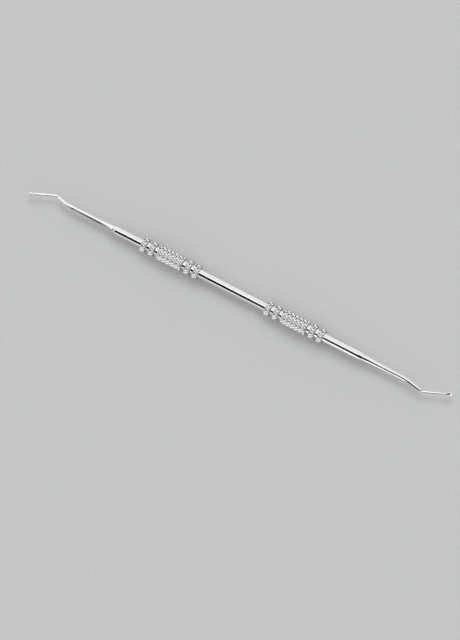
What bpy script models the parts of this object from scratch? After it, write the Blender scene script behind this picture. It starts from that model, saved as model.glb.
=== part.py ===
"""Double-ended pedicure curette.

A plain round steel rod carries two knurled zones. Each zone is a long grip sleeve between two
pairs of narrow rings. A tapered stem sits in a socket in each end of the rod and ends in a bent
wire with a very small cup. The tool lies on its knurls on the plane Z = 0, with +X along the rod.
The cup of the right end opens upwards and the cup of the left end opens downwards.
Lengths are in metres and angles in radians.
"""

import math
from dataclasses import dataclass

import bmesh
import bpy
from mathutils import Matrix, Vector

# Handle rod
ROD_DIAMETER = 0.0037
LEFT_PLAIN_LENGTH = 0.0123
MIDDLE_PLAIN_LENGTH = 0.0288
RIGHT_PLAIN_LENGTH = 0.0170
MOUTH_CHAMFER_HEIGHT = 0.00024
LEFT_MOUTH_CHAMFER_LENGTH = 0.0007
RIGHT_MOUTH_CHAMFER_LENGTH = 0.0020
SOCKET_WALL = 0.00052
SOCKET_DEPTH = 0.0090

# Knurled grips and rings, whose crests stand this far above the rod
KNURL_HEIGHT = 0.00105
KNURL_DEPTH = 0.00030
KNURL_STARTS = 15
KNURL_HELIX_ANGLE = math.radians(35.0)
KNURL_FACE_CHAMFER_LENGTH = 0.00018
GRIP_LENGTH = 0.0105
RING_WIDTH = 0.0021
RING_SPACING = 0.0014
RINGS_PER_SIDE = 2

# Seats
SLEEVE_CLEARANCE = 0.00010
TANG_CLEARANCE = 0.00010
TANG_END_CLEARANCE = 0.00030
SHOULDER_CLEARANCE = 0.00010

# Stem, from the rod outwards, its root a little smaller than the rod's mouth
STEM_ROOT_STEP = 0.00007
LEFT_STRAIGHT_LENGTH = 0.0202
RIGHT_STRAIGHT_LENGTH = 0.0182
LEFT_NECK_LENGTH = 0.0050
RIGHT_NECK_LENGTH = 0.0070
LEFT_NECK_ANGLE = math.radians(12.7)
RIGHT_NECK_ANGLE = math.radians(10.5)
NECK_BEND_RADIUS = 0.0200
NECK_DIAMETER = 0.0020
NECK_END_DIAMETER = 0.0014
WIRE_ROOT_DIAMETER = 0.00078
WIRE_DIAMETER = 0.00070
WIRE_LENGTH = 0.0094
WIRE_ANGLE = math.radians(22.3)
ELBOW_BEND_RADIUS = 0.0016
ELBOW_TAPER_LENGTH = 0.0008

# Cup at the end of the wire
CUP_LENGTH = 0.0021
CUP_WIDTH = 0.0013
CUP_BELLY_DEPTH = 0.00040
CUP_RIM_HEIGHT = 0.00026
CUP_DISH_DEPTH = 0.00042
CUP_RIM_WIDTH = 0.00011

# Share of the straight length, and share of the stem's thinning that is still to come there
STEM_TAPER_SHARES = (
    (0.0, 1.0),
    (0.04, 0.82),
    (0.09, 0.66),
    (0.16, 0.51),
    (0.24, 0.37),
    (0.33, 0.26),
    (0.45, 0.17),
    (0.60, 0.10),
    (0.78, 0.04),
    (1.0, 0.0),
)
NECK_BEND_SHARES = (0.0, 0.25, 0.5, 0.75, 1.0)
NECK_SHARES = (0.5, 1.0)
ELBOW_SHARES = (0.0, 0.2, 0.4, 0.6, 0.8, 1.0)
WIRE_SHARES = (0.04, 0.09, 0.5)
CUP_SHARES = (0.0, 0.07, 0.14, 0.21, 0.28, 0.36, 0.46, 0.58, 0.70, 0.80, 0.88, 0.94, 0.98)
CUP_FLARE_SHARE = 0.34
CUP_DISH_START_SHARE = 0.14
CUP_DISH_FULL_SHARE = 0.46
CUP_DISH_END_SHARE = 0.92
CUP_NOSE_SHARE = 0.46
CUP_TIP_HEIGHT_SHARE = 0.35
CUP_OUTLINE_POWER = 2.6
CUP_BELLY_POWER = 2.2

# Faceting: a turned piece has a column for each knurl crest and each groove crossing
TURNED_SIDES = 2 * KNURL_STARTS
TURNED_STEP = 2.0 * math.pi / TURNED_SIDES
STEM_SIDES = 20
ROW_MARGIN_SHARE = 0.15
MERGE_DISTANCE = 0.000001
SHARP_EDGE_ANGLE = math.radians(32.0)

# Worked out from the sizes above
ROD_RADIUS = ROD_DIAMETER / 2.0
KNURL_RADIUS = ROD_RADIUS + KNURL_HEIGHT
SLEEVE_BORE_RADIUS = ROD_RADIUS + SLEEVE_CLEARANCE
MOUTH_RADIUS = ROD_RADIUS - MOUTH_CHAMFER_HEIGHT
STEM_ROOT_RADIUS = MOUTH_RADIUS - STEM_ROOT_STEP
SOCKET_RADIUS = MOUTH_RADIUS - SOCKET_WALL
TANG_RADIUS = SOCKET_RADIUS - TANG_CLEARANCE
TANG_LENGTH = SOCKET_DEPTH - TANG_END_CLEARANCE
RING_PITCH = RING_WIDTH + RING_SPACING
ZONE_LENGTH = 2.0 * RINGS_PER_SIDE * RING_PITCH + GRIP_LENGTH
ROD_LENGTH = LEFT_PLAIN_LENGTH + MIDDLE_PLAIN_LENGTH + RIGHT_PLAIN_LENGTH + 2.0 * ZONE_LENGTH
AXIS_HEIGHT = KNURL_RADIUS * math.cos(TURNED_STEP / 2.0)
KNURL_HALF_PITCH = math.pi * KNURL_RADIUS / KNURL_STARTS / math.tan(KNURL_HELIX_ANGLE)

STEEL_COLOUR = (0.80, 0.80, 0.79, 1.0)
STEEL_ROUGHNESS = 0.12
KNURL_COLOUR = (0.74, 0.74, 0.73, 1.0)
KNURL_ROUGHNESS = 0.28


def clear_scene():
    """Remove every object of the open scene."""
    for item in list(bpy.data.objects):
        bpy.data.objects.remove(item, do_unlink=True)


def steel(name, colour, roughness):
    """A plain metal material."""
    material = bpy.data.materials.new(name)
    material.use_nodes = True
    shader = material.node_tree.nodes["Principled BSDF"]
    shader.inputs["Base Color"].default_value = colour
    shader.inputs["Metallic"].default_value = 1.0
    shader.inputs["Roughness"].default_value = roughness
    return material


def finished_mesh(bm, name, material):
    """Turn a closed bmesh into a mesh that faces out, with smooth round walls and sharp rims."""
    bmesh.ops.recalc_face_normals(bm, faces=bm.faces)
    mesh = bpy.data.meshes.new(name)
    bm.to_mesh(mesh)
    bm.free()
    mesh.materials.append(material)
    mesh.shade_smooth()
    mesh.set_sharp_from_angle(angle=SHARP_EDGE_ANGLE)
    return mesh


def place(name, mesh, parent, along, turn=0.0):
    """One named object on the tool's axis, at its distance along it, turned about the vertical."""
    piece = bpy.data.objects.new(name, mesh)
    bpy.context.scene.collection.objects.link(piece)
    piece.parent = parent
    piece.location = (along, 0.0, 0.0)
    piece.rotation_euler = (0.0, 0.0, turn)
    return piece


def turned(profile, closed):
    """Spin a profile of (distance along, radius) pairs once round the X axis.

    A closed profile gives a sleeve with a bore. An open one starts and ends on the axis.
    The first column lies half a step from the top, so that a flat facet faces straight down.
    """
    bm = bmesh.new()
    start = Matrix.Rotation(TURNED_STEP / 2.0, 3, "X")
    verts = [bm.verts.new(start @ Vector((along, 0.0, radius))) for along, radius in profile]
    edges = [bm.edges.new(pair) for pair in zip(verts, verts[1:])]
    if closed:
        edges.append(bm.edges.new((verts[-1], verts[0])))
    bmesh.ops.spin(
        bm,
        geom=verts + edges,
        cent=(0.0, 0.0, 0.0),
        axis=(1.0, 0.0, 0.0),
        angle=2.0 * math.pi,
        steps=TURNED_SIDES,
        use_duplicate=False,
    )
    bmesh.ops.remove_doubles(bm, verts=bm.verts, dist=MERGE_DISTANCE)
    return bm


def handle_rod_mesh(material):
    """The plain rod: a chamfered mouth and a blind socket in each end."""
    half = ROD_LENGTH / 2.0
    profile = [
        (-half + SOCKET_DEPTH, 0.0),
        (-half + SOCKET_DEPTH, SOCKET_RADIUS),
        (-half, SOCKET_RADIUS),
        (-half, MOUTH_RADIUS),
        (-half + LEFT_MOUTH_CHAMFER_LENGTH, ROD_RADIUS),
        (half - RIGHT_MOUTH_CHAMFER_LENGTH, ROD_RADIUS),
        (half, MOUTH_RADIUS),
        (half, SOCKET_RADIUS),
        (half - SOCKET_DEPTH, SOCKET_RADIUS),
        (half - SOCKET_DEPTH, 0.0),
    ]
    return finished_mesh(turned(profile, closed=False), "handle_rod", material)


def knurl_rows(half_land):
    """Distances along a knurled land: each row of crests and crossings inside it, and its ends."""
    margin = ROW_MARGIN_SHARE * KNURL_HALF_PITCH
    reach = math.floor((half_land - margin) / KNURL_HALF_PITCH)
    inner = [row * KNURL_HALF_PITCH for row in range(-reach, reach + 1)]
    return [-half_land] + inner + [half_land]


def crest_share(column, along):
    """Height of the diamond pattern there: 1 on a crest, 0 where two grooves cross."""
    return abs(1.0 - (column + along / KNURL_HALF_PITCH) % 2.0)


def knurled_mesh(name, width, material):
    """A sleeve of this width that slips over the rod, with a diamond knurl on its outside."""
    half = width / 2.0
    half_land = half - KNURL_FACE_CHAMFER_LENGTH
    face_radius = KNURL_RADIUS - KNURL_DEPTH
    profile = [(-half, SLEEVE_BORE_RADIUS), (-half, face_radius)]
    profile += [(along, KNURL_RADIUS) for along in knurl_rows(half_land)]
    profile += [(half, face_radius), (half, SLEEVE_BORE_RADIUS)]
    bm = turned(profile, closed=True)
    shares = {}
    for vert in bm.verts:
        radius = math.hypot(vert.co.y, vert.co.z)
        if radius < (face_radius + KNURL_RADIUS) / 2.0:
            continue
        column = round(math.atan2(vert.co.y, vert.co.z) / TURNED_STEP - 0.5)
        share = crest_share(column, vert.co.x)
        shares[vert] = share
        lowered = (KNURL_RADIUS - KNURL_DEPTH * (1.0 - share)) / radius
        vert.co.y *= lowered
        vert.co.z *= lowered
    for face in [face for face in bm.faces if all(vert in shares for vert in face.verts)]:
        corners = list(face.verts)
        even = shares[corners[0]] + shares[corners[2]]
        odd = shares[corners[1]] + shares[corners[3]]
        low = 0 if even < odd else 1
        bmesh.utils.face_split(face, corners[low], corners[low + 2])
    return finished_mesh(bm, name, material)


def smoothstep(share):
    """A share from 0 to 1 that leaves 0 and reaches 1 gently."""
    share = min(max(share, 0.0), 1.0)
    return share * share * (3.0 - 2.0 * share)


def blend(start, end, share):
    """The value this share of the way from start to end."""
    return start + (end - start) * share


def walk(point, heading, length, turn):
    """Where a leg of this length, which turns evenly by this angle, takes a point and heading."""
    if turn:
        chord = length * math.sin(turn / 2.0) / (turn / 2.0)
    else:
        chord = length
    middle = heading + turn / 2.0
    step = Vector((math.cos(middle), math.sin(middle), 0.0)) * chord
    return point + step, heading + turn


def section(centre, heading, size, cup_side):
    """The points of one cross-section, square to the stem's path.

    The size gives half the width, the crown's height, the belly's depth, the rim's height, the
    dish's depth and how far the section has become a cup, from 0 to 1.
    """
    half_width, crown, belly, rim, dish, cup_share = size
    across_axis = Vector((-math.sin(heading), math.cos(heading), 0.0))
    dish_half_width = half_width - CUP_RIM_WIDTH * cup_share
    points = []
    for side in range(STEM_SIDES):
        angle = 2.0 * math.pi * side / STEM_SIDES
        across = half_width * math.cos(angle)
        lift = math.sin(angle)
        if lift >= 0.0:
            hollow = max(0.0, 1.0 - (across / dish_half_width) ** 2)
            height = blend(crown * lift, rim - dish * hollow, cup_share)
        else:
            height = rim * cup_share * (1.0 + lift) + belly * lift
        points.append(centre + across_axis * across + Vector((0.0, 0.0, height * cup_side)))
    return points


def round_size(radius):
    """The section size of a plain round bar."""
    return radius, radius, radius, 0.0, 0.0, 0.0


def nose(share, power):
    """The share of its full size that the cup keeps towards its round tip."""
    if share <= CUP_NOSE_SHARE:
        return 1.0
    beyond = (share - CUP_NOSE_SHARE) / (1.0 - CUP_NOSE_SHARE)
    return (1.0 - beyond**power) ** (1.0 / power)


def cup_size(share):
    """The section size at this share of the cup's length."""
    wire = WIRE_DIAMETER / 2.0
    flare = smoothstep(share / CUP_FLARE_SHARE)
    half_width = blend(wire, CUP_WIDTH / 2.0, flare) * nose(share, CUP_OUTLINE_POWER)
    belly = blend(wire, CUP_BELLY_DEPTH, flare) * nose(share, CUP_BELLY_POWER)
    rising = (share - CUP_DISH_START_SHARE) / (CUP_DISH_FULL_SHARE - CUP_DISH_START_SHARE)
    falling = (CUP_DISH_END_SHARE - share) / (CUP_DISH_END_SHARE - CUP_DISH_FULL_SHARE)
    dish = CUP_DISH_DEPTH * smoothstep(rising) * smoothstep(falling)
    return half_width, wire, belly, CUP_RIM_HEIGHT, dish, flare


@dataclass(frozen=True)
class StemRun:
    """How one stem runs from the rod: a straight, then a neck at an angle to it, up to the elbow."""

    straight_length: float
    neck_length: float
    neck_angle: float

    @property
    def bend_tangent(self):
        """Length of straight and of neck that the gentle bend takes up."""
        return NECK_BEND_RADIUS * math.tan(self.neck_angle / 2.0)

    @property
    def elbow_turn(self):
        """How far the wire turns back from the neck."""
        return self.neck_angle + WIRE_ANGLE

    @property
    def elbow_tangent(self):
        """Length of neck and of wire that the elbow takes up."""
        return ELBOW_BEND_RADIUS * math.tan(self.elbow_turn / 2.0)


def straight_stations(run):
    """The tang, and the straight stem that thins from its root to the neck."""
    neck = NECK_DIAMETER / 2.0
    tang = round_size(TANG_RADIUS)
    shoulder = Vector((SHOULDER_CLEARANCE, 0.0, 0.0))
    stations = [(Vector((-TANG_LENGTH, 0.0, 0.0)), 0.0, tang), (shoulder, 0.0, tang)]
    length = run.straight_length - SHOULDER_CLEARANCE - run.bend_tangent
    for share, thinning in STEM_TAPER_SHARES:
        point, heading = walk(shoulder, 0.0, length * share, 0.0)
        stations.append((point, heading, round_size(blend(neck, STEM_ROOT_RADIUS, thinning))))
    return stations


def neck_stations(start, run):
    """The gentle bend and the neck, which thin evenly up to the elbow. The bend leaves from start."""
    bend_length = NECK_BEND_RADIUS * run.neck_angle
    straight = run.neck_length - run.bend_tangent - run.elbow_tangent
    length = bend_length + straight
    stations = []
    for share in NECK_BEND_SHARES:
        distance = bend_length * share
        point, heading = walk(start, 0.0, distance, -run.neck_angle * share)
        radius = blend(NECK_DIAMETER, NECK_END_DIAMETER, distance / length) / 2.0
        stations.append((point, heading, round_size(radius)))
    for share in NECK_SHARES:
        distance = bend_length + straight * share
        here, heading = walk(point, heading, straight * share, 0.0)
        radius = blend(NECK_DIAMETER, NECK_END_DIAMETER, distance / length) / 2.0
        stations.append((here, heading, round_size(radius)))
    return stations


def wire_radius(distance, length):
    """The bar's radius this far past the start of the elbow, on a wire of this length."""
    neck_end = NECK_END_DIAMETER / 2.0
    wire_root = WIRE_ROOT_DIAMETER / 2.0
    shoulder = blend(neck_end, wire_root, smoothstep(distance / ELBOW_TAPER_LENGTH))
    return shoulder - (wire_root - WIRE_DIAMETER / 2.0) * distance / length


def flush(point, heading, radius):
    """Move a thin bar's centre so that its outer side stays in line with the neck's."""
    outwards = Vector((math.sin(heading), -math.cos(heading), 0.0))
    return point + outwards * (NECK_END_DIAMETER / 2.0 - radius)


def wire_stations(start, heading, run):
    """The tight elbow, the straight wire and the cup, and the cup's tip."""
    turn = run.elbow_turn
    elbow_length = ELBOW_BEND_RADIUS * turn
    straight = WIRE_LENGTH - run.elbow_tangent
    length = elbow_length + straight
    stations = []
    for share in ELBOW_SHARES:
        distance = elbow_length * share
        point, ahead = walk(start, heading, distance, turn * share)
        radius = wire_radius(distance, length)
        stations.append((flush(point, ahead, radius), ahead, round_size(radius)))
    for share in WIRE_SHARES:
        here, ahead = walk(point, ahead, straight * share, 0.0)
        radius = wire_radius(elbow_length + straight * share, length)
        stations.append((flush(here, ahead, radius), ahead, round_size(radius)))
    cup_start, ahead = walk(point, ahead, straight, 0.0)
    cup_start = flush(cup_start, ahead, WIRE_DIAMETER / 2.0)
    for share in CUP_SHARES:
        here, ahead = walk(cup_start, ahead, CUP_LENGTH * share, 0.0)
        stations.append((here, ahead, cup_size(share)))
    tip, ahead = walk(cup_start, ahead, CUP_LENGTH, 0.0)
    return stations, tip


def curette_stem_mesh(name, run, cup_side, material):
    """Tang, tapered stem, bent neck, wire and cup as one closed body, pointing along +X."""
    stations = straight_stations(run)
    bend_start = stations.pop()[0]
    stations += neck_stations(bend_start, run)
    elbow_start, heading = stations.pop()[:2]
    outer_stations, tip = wire_stations(elbow_start, heading, run)
    stations += outer_stations
    tip.z += CUP_RIM_HEIGHT * CUP_TIP_HEIGHT_SHARE * cup_side

    bm = bmesh.new()
    loops = []
    for centre, heading, size in stations:
        loops.append([bm.verts.new(point) for point in section(centre, heading, size, cup_side)])
    bm.faces.new(loops[0])
    for inner, outer in zip(loops, loops[1:]):
        for side in range(STEM_SIDES):
            beside = (side + 1) % STEM_SIDES
            bm.faces.new((inner[side], inner[beside], outer[beside], outer[side]))
    peak = bm.verts.new(tip)
    for side in range(STEM_SIDES):
        bm.faces.new((loops[-1][side], loops[-1][(side + 1) % STEM_SIDES], peak))
    return finished_mesh(bm, name, material)


def centre(axis):
    """Move the parent so that the middle of the tool's length and width lies over the origin."""
    bpy.context.view_layer.update()
    points = [piece.matrix_local @ vert.co for piece in axis.children for vert in piece.data.vertices]
    for way in (0, 1):
        places = [point[way] for point in points]
        axis.location[way] = -(min(places) + max(places)) / 2.0


def build_curette():
    """The whole tool on one parent axis, knurls resting on Z = 0."""
    polished = steel("polished_steel", STEEL_COLOUR, STEEL_ROUGHNESS)
    knurled = steel("knurled_steel", KNURL_COLOUR, KNURL_ROUGHNESS)
    axis = bpy.data.objects.new("curette_axis", None)
    bpy.context.scene.collection.objects.link(axis)
    axis.location = (0.0, 0.0, AXIS_HEIGHT)

    half = ROD_LENGTH / 2.0
    place("handle_rod", handle_rod_mesh(polished), axis, 0.0)

    ring = knurled_mesh("knurled_ring", RING_WIDTH, knurled)
    grip = knurled_mesh("grip_sleeve", GRIP_LENGTH, knurled)
    zones = (
        ("left", "outer", "inner", -half + LEFT_PLAIN_LENGTH),
        ("right", "inner", "outer", half - RIGHT_PLAIN_LENGTH - ZONE_LENGTH),
    )
    for zone, first, last, start in zones:
        for number in range(RINGS_PER_SIDE):
            along = start + number * RING_PITCH + RING_WIDTH / 2.0
            place(f"{zone}_{first}_ring_{number + 1}", ring, axis, along)
        grip_start = start + RINGS_PER_SIDE * RING_PITCH
        place(f"{zone}_grip_sleeve", grip, axis, grip_start + GRIP_LENGTH / 2.0)
        rings_start = grip_start + GRIP_LENGTH + RING_SPACING
        for number in range(RINGS_PER_SIDE):
            along = rings_start + number * RING_PITCH + RING_WIDTH / 2.0
            place(f"{zone}_{last}_ring_{number + 1}", ring, axis, along)

    right_run = StemRun(RIGHT_STRAIGHT_LENGTH, RIGHT_NECK_LENGTH, RIGHT_NECK_ANGLE)
    left_run = StemRun(LEFT_STRAIGHT_LENGTH, LEFT_NECK_LENGTH, LEFT_NECK_ANGLE)
    right = curette_stem_mesh("right_curette_stem", right_run, 1.0, polished)
    left = curette_stem_mesh("left_curette_stem", left_run, -1.0, polished)
    place("right_curette_stem", right, axis, half)
    place("left_curette_stem", left, axis, -half, turn=math.pi)
    centre(axis)


clear_scene()
build_curette()
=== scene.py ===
"""Looks of a double-ended pedicure curette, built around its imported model.

A turned steel rod carries two knurled zones, and a bent stem with a small cup sits in each end.
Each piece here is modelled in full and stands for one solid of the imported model.
Lengths are in metres. Angles are in radians, and in degrees where a name or docstring says so.
+X runs along the rod and +Z points up.
"""

import logging
import math
from collections.abc import Callable, Iterator
from contextlib import contextmanager
from dataclasses import dataclass
from enum import Enum

import bmesh
import bpy
from bmesh.types import BMEdge, BMFace, BMVert
from bpy.types import Material, Node, NodeTree, Object
from bpy.types import NodeSocket as Socket
from mathutils import Matrix, Vector


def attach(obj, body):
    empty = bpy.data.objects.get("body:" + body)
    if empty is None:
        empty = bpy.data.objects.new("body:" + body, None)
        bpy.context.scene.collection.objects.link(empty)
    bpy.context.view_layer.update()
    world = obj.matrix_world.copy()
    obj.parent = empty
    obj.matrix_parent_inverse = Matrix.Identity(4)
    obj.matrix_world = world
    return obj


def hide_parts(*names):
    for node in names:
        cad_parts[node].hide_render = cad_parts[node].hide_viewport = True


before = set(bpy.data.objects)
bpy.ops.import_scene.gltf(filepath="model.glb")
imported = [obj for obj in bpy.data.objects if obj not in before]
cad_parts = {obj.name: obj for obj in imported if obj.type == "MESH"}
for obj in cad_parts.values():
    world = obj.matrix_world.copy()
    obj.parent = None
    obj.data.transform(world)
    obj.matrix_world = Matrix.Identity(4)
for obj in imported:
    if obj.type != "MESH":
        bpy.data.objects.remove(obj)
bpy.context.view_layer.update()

log = logging.getLogger("curette")

BODY = "root"
UNBENT = "unbent_place"
HOLLOW = "cup_hollow"
WELD_DISTANCE = 0.0000002
PLACE_TOLERANCE = 0.000005
SECTION_TOLERANCE = PLACE_TOLERANCE / 10.0
SAME_SIZE = 0.000001
SQUARE_TO_X = 0.99

# The rod's axis runs along X, as high as the knurls lift it off the floor. Its middle lies a
# little off the origin, which is under the middle of the whole tool's length and width.
KNURL_STARTS = 15
CREST_RADIUS = 0.0029
ROOT_RADIUS = 0.0026
CREST_STEP = math.pi / KNURL_STARTS
ROD_MIDDLE = Vector((-0.00000255, 0.00008821, CREST_RADIUS * math.cos(CREST_STEP / 2.0)))
ROD_RADIUS = 0.00185
ROD_LENGTH = 0.1071
LEFT_PLAIN_LENGTH = 0.0123
RIGHT_PLAIN_LENGTH = 0.0170
RING_WIDTH = 0.0021
RING_PITCH = 0.0035
RINGS_EACH_SIDE = 2
GRIP_LENGTH = 0.0105
ZONE_LENGTH = GRIP_LENGTH + 2 * RINGS_EACH_SIDE * RING_PITCH
WIRE_DEGREES = 22.3
NECK_DEGREES = -11.6

Inputs = dict[str | int, object]
Range = tuple[float, float]
Scale = tuple[float, float, float]
Colour = tuple[float, float, float, float]


class Pick(Enum):
    """Kinds of element that are picked in edit mode."""

    VERTS = "VERT"
    EDGES = "EDGE"
    FACES = "FACE"


class Side(Enum):
    """The two ends of the tool."""

    LEFT = "left"
    RIGHT = "right"


class Slot(Enum):
    """Names of material slots in the record."""

    POLISHED = "polished_steel"
    KNURLED = "knurled_steel"


# Modelling


def clear_selection() -> None:
    """Leave edit mode and deselect every object."""
    if bpy.context.object and bpy.context.object.mode != "OBJECT":
        bpy.ops.object.mode_set(mode="OBJECT")
    bpy.ops.object.select_all(action="DESELECT")


def smoothstep(share: float) -> float:
    """A share from 0 to 1 that leaves 0 and reaches 1 gently."""
    share = min(max(share, 0.0), 1.0)
    return share * share * (3.0 - 2.0 * share)


def blend(start: float, end: float, share: float) -> float:
    """The value this share of the way from start to end."""
    return start + (end - start) * share


def even_shares(steps: int, lead: float = 0.0) -> tuple[float, ...]:
    """Evenly spaced shares up to 1, of which the first is this part of a step past 0."""
    return tuple((step + lead) / (steps + lead) for step in range(steps + 1))


def towards(heading: float) -> Vector:
    """The level direction at this angle from +X."""
    return Vector((math.cos(heading), math.sin(heading), 0.0))


def is_end(face: BMFace) -> bool:
    """Whether a face is square to X."""
    return abs(face.normal.x) > SQUARE_TO_X


class Workpiece:
    """A mesh object on the bench, with the operators that shape it."""

    def __init__(self, shape: Object) -> None:
        """Take hold of an object whose transforms are applied."""
        self.shape = shape

    @classmethod
    def round_bar(
        cls, name: str, radius: float, length: float, sides: int, turn: float = 0.0
    ) -> "Workpiece":
        """Add a solid round bar along X, centred on the origin.

        Args:
            name: name of the object and its mesh.
            radius: radius of the bar.
            length: length of the bar.
            sides: number of sides round it.
            turn: how far its columns are turned about X.

        Returns:
            The bar, with its transforms applied.
        """
        clear_selection()
        bpy.ops.mesh.primitive_cylinder_add(
            vertices=sides, radius=radius, depth=length, end_fill_type="NGON"
        )
        return cls.laid_along_x(name, turn)

    @classmethod
    def laid_along_x(cls, name: str, turn: float = 0.0) -> "Workpiece":
        """Lay the new primitive's axis along X and apply its transforms.

        Args:
            name: name of the object and its mesh.
            turn: how far it is turned about X.

        Returns:
            The primitive as a workpiece.
        """
        shape = bpy.context.object
        shape.name = shape.data.name = name
        laid = Matrix.Rotation(turn, 4, "X") @ Matrix.Rotation(math.pi / 2.0, 4, "Y")
        shape.rotation_euler = laid.to_euler()
        bpy.ops.object.transform_apply(location=True, rotation=True, scale=True)
        return cls(shape)

    def take_up(self) -> None:
        """Select the piece alone and make it the active object."""
        clear_selection()
        self.shape.select_set(True)
        bpy.context.view_layer.objects.active = self.shape

    @contextmanager
    def editing(self) -> Iterator[None]:
        """Hold the piece alone in edit mode."""
        self.take_up()
        bpy.ops.object.mode_set(mode="EDIT")
        yield
        bpy.ops.object.mode_set(mode="OBJECT")

    def pick(self, kind: Pick, test: Callable[..., bool]) -> None:
        """Select in edit mode only the elements that pass a test.

        Args:
            kind: the kind of element.
            test: takes an element and says whether it is picked.
        """
        bpy.ops.mesh.select_mode(type=kind.value)
        bpy.ops.mesh.select_all(action="DESELECT")
        sheet = bmesh.from_edit_mesh(self.shape.data)
        elements = {Pick.VERTS: sheet.verts, Pick.EDGES: sheet.edges, Pick.FACES: sheet.faces}
        for element in [element for element in elements[kind] if test(element)]:
            element.select_set(True)
        sheet.select_flush_mode()
        bmesh.update_edit_mesh(self.shape.data)

    def cut_ring(self, along: float) -> None:
        """Cut an edge loop round the piece, square to X, this far along it."""
        bpy.ops.mesh.select_all(action="SELECT")
        bpy.ops.mesh.bisect(plane_co=(along, 0.0, 0.0), plane_no=(1.0, 0.0, 0.0))

    def narrow_end(self, along: float, share: float) -> None:
        """Scale the ring of vertices this far along X, to this share of its radius."""
        self.pick(Pick.VERTS, lambda vert: abs(vert.co.x - along) < PLACE_TOLERANCE)
        bpy.ops.transform.resize(value=(1.0, share, share), center_override=(along, 0.0, 0.0))

    def ease_rims(self, rims: list[Range], width: float, steps: int) -> None:
        """Round over the edges that run round the axis at these places.

        Args:
            rims: pairs of distance along X and radius.
            width: width of the rounding, and how far an edge may lie from its place.
            steps: number of steps of the rounding.
        """

        def on_rim(vert: BMVert, along: float, radius: float) -> bool:
            """Whether a vertex lies on a rim."""
            off = math.hypot(vert.co.y, vert.co.z) - radius
            return abs(vert.co.x - along) < PLACE_TOLERANCE and abs(off) < width

        self.pick(
            Pick.EDGES,
            lambda edge: any(all(on_rim(vert, *rim) for vert in edge.verts) for rim in rims),
        )
        bpy.ops.mesh.bevel(offset=width, segments=steps, profile=0.5, affect="EDGES")

    def combine(self, operation: str, tool: "Workpiece") -> None:
        """Cut or trim the piece with another one, which is used up.

        Args:
            operation: the Boolean modifier's operation.
            tool: the piece that cuts or trims.
        """
        self.take_up()
        bpy.ops.object.modifier_add(type="BOOLEAN")
        modifier = self.shape.modifiers[-1]
        modifier.operation = operation
        modifier.solver = "EXACT"
        modifier.object = tool.shape
        bpy.ops.object.modifier_apply(modifier=modifier.name)
        tool.discard()

    def close_up(self, smooth_angle: float) -> None:
        """Weld doubles, face every wall outwards and smooth all but the sharp edges.

        Args:
            smooth_angle: edges that turn by more than this stay sharp.
        """
        with self.editing():
            bpy.ops.mesh.select_mode(type="VERT")
            bpy.ops.mesh.select_all(action="SELECT")
            bpy.ops.mesh.remove_doubles(threshold=WELD_DISTANCE)
            bpy.ops.mesh.normals_make_consistent(inside=False)
        bpy.ops.object.shade_smooth_by_angle(angle=smooth_angle)

    def settle(self, along: float, turn: float = 0.0) -> Object:
        """Move the piece to its place on the tool's axis and apply the move.

        Args:
            along: distance of its origin along the tool.
            turn: how far it is turned about the vertical.

        Returns:
            The object, at the origin with its place in its mesh.
        """
        self.take_up()
        self.shape.location = ROD_MIDDLE + Vector((along, 0.0, 0.0))
        self.shape.rotation_euler = (0.0, 0.0, turn)
        bpy.ops.object.transform_apply(location=True, rotation=True, scale=True)
        return self.shape

    def copied(self, name: str) -> "Workpiece":
        """Copy the piece.

        Args:
            name: name of the copy and its mesh.

        Returns:
            The copy, with its own mesh.
        """
        shape = self.shape.copy()
        shape.data = self.shape.data.copy()
        shape.name = shape.data.name = name
        bpy.context.scene.collection.objects.link(shape)
        return Workpiece(shape)

    def discard(self) -> None:
        """Remove the piece from the scene."""
        bpy.data.objects.remove(self.shape, do_unlink=True)


# Shader node boards and the effects that the finishes share


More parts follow.
